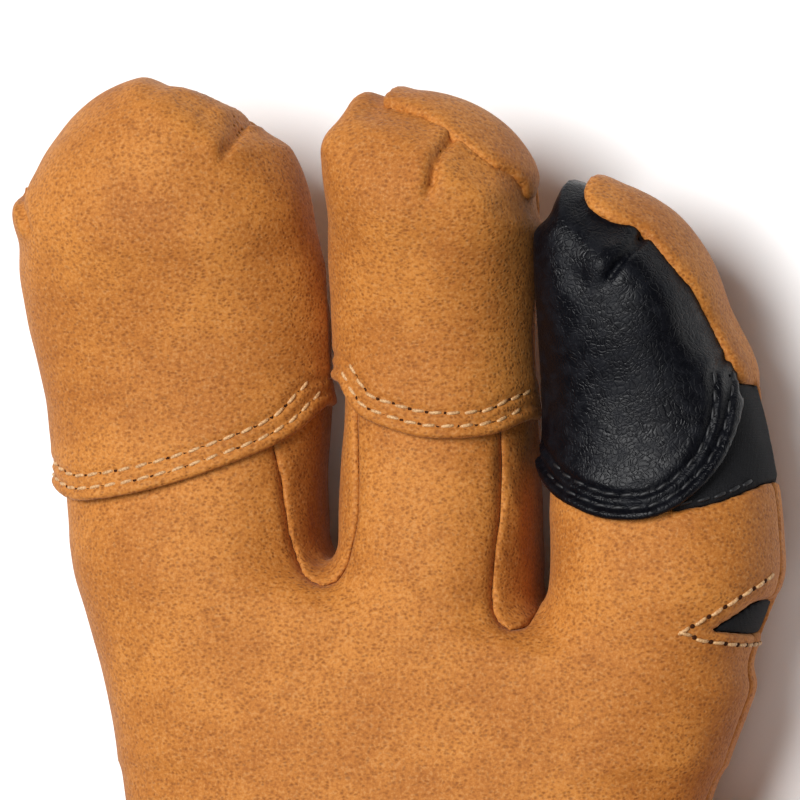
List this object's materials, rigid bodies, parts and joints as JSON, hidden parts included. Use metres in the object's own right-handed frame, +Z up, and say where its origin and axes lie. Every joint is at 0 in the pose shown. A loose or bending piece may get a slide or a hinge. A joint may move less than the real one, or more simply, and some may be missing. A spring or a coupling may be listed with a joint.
{
  "type": "lobster claw mitt",
  "caption": "Lined leather lobster claw mitt for the right hand, with finger sheaths, fingertip caps, side strips between the sheaths, a thumb sheath and an open wrist.",
  "frame": {"origin": "on the floor under the middle of the whole mitt, which lies on its back", "axes": "+Y towards the fingertips, +X towards the index finger and thumb, +Z up out of the palm"},
  "size_m": [0.174, 0.2516, 0.0501],
  "materials": {
    "tan_leather": "matt tan pebbled cowhide",
    "black_leather": "glossy black pebbled goatskin",
    "soft_shell": "matt black stretch cloth",
    "cream_thread": "waxed cream sewing thread",
    "black_thread": "black sewing thread"
  },
  "bodies": {
    "root": {"palm_panel": "tan_leather", "back_panel": "tan_leather", "wide_gusset": "tan_leather", "narrow_gusset": "tan_leather", "wide_cap": "tan_leather", "middle_cap": "tan_leather", "index_cap": "black_leather", "side_patch": "soft_shell", "vent_insert": "soft_shell", "thumb_sheath": "tan_leather", "wrist_hem": "tan_leather"}
  },
  "joints": []
}
